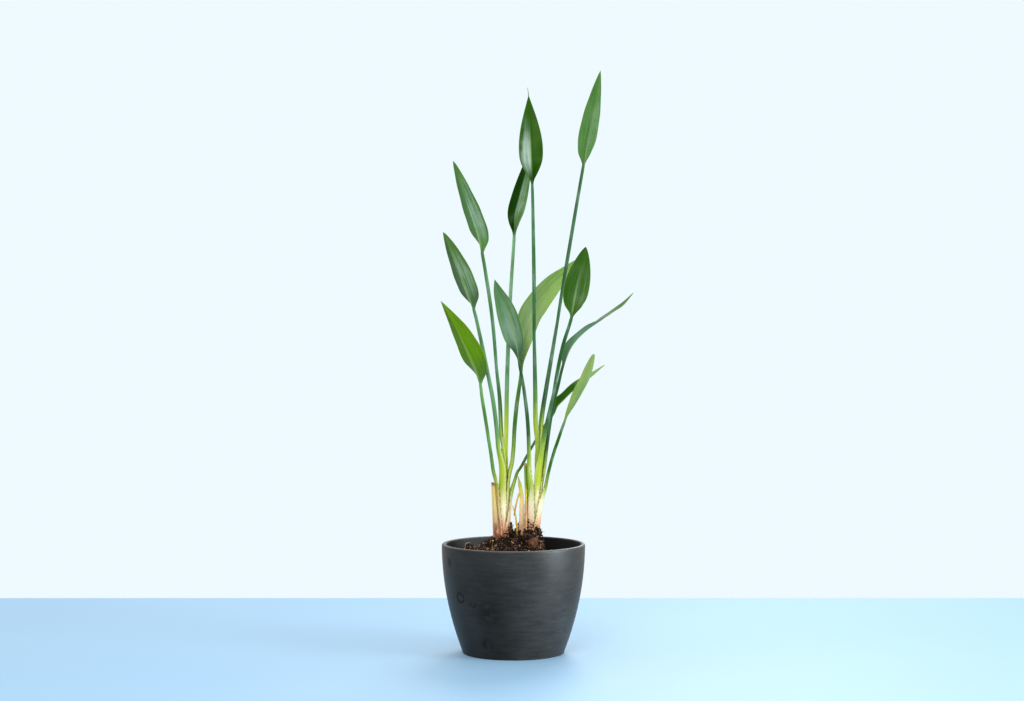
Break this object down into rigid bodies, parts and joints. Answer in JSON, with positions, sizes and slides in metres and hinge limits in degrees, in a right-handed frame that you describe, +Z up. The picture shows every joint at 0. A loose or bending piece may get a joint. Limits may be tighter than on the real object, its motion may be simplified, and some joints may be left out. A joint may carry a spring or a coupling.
{
  "type": "potted bird of paradise plant",
  "caption": "Young bird of paradise houseplant: pointed leaves on long slim stalks fan out from two sheathed clumps in heaped soil, in a round planter that tapers to its foot.",
  "frame": {"origin": "middle of the pot's flat foot, on the surface the pot stands on", "axes": "+Z up along the pot's axis, +X to the viewer's right and -Y towards the viewer of the front view"},
  "size_m": [0.27, 0.2, 0.8092],
  "materials": {
    "pot": "matte moulded plastic, faintly streaked, charcoal grey",
    "soil": "crumbly moist potting mix, dark brown with light flecks",
    "leaf_dark": "glossy upper side of a leaf, dark green",
    "leaf_grey_green": "satin underside of a leaf, bluish grey green",
    "leaf_bright": "thin young leaf that light shines through, yellow green",
    "cut_sheath": "old cut leaf base, tan to yellow green, fibrous",
    "dry_sheath": "dry papery leaf base, straw coloured"
  },
  "bodies": {
    "root": {"pot": "pot", "soil": "soil", "leaf_left_low": "leaf_bright", "leaf_right_crossing": "leaf_dark", "leaf_left_mid": "leaf_grey_green", "leaf_bright_back": "leaf_bright", "leaf_left_high": "leaf_grey_green", "leaf_centre_back": "leaf_dark", "leaf_centre_front": "leaf_grey_green", "leaf_right_low": "leaf_bright", "leaf_right_narrow": "leaf_grey_green", "leaf_right_round": "leaf_dark", "leaf_right_top": "leaf_grey_green", "leaf_centre_top": "leaf_dark", "old_sheath_left": "cut_sheath", "cut_stub_right": "cut_sheath", "dry_sheath_right": "dry_sheath", "dry_strips": "dry_sheath"}
  },
  "joints": []
}
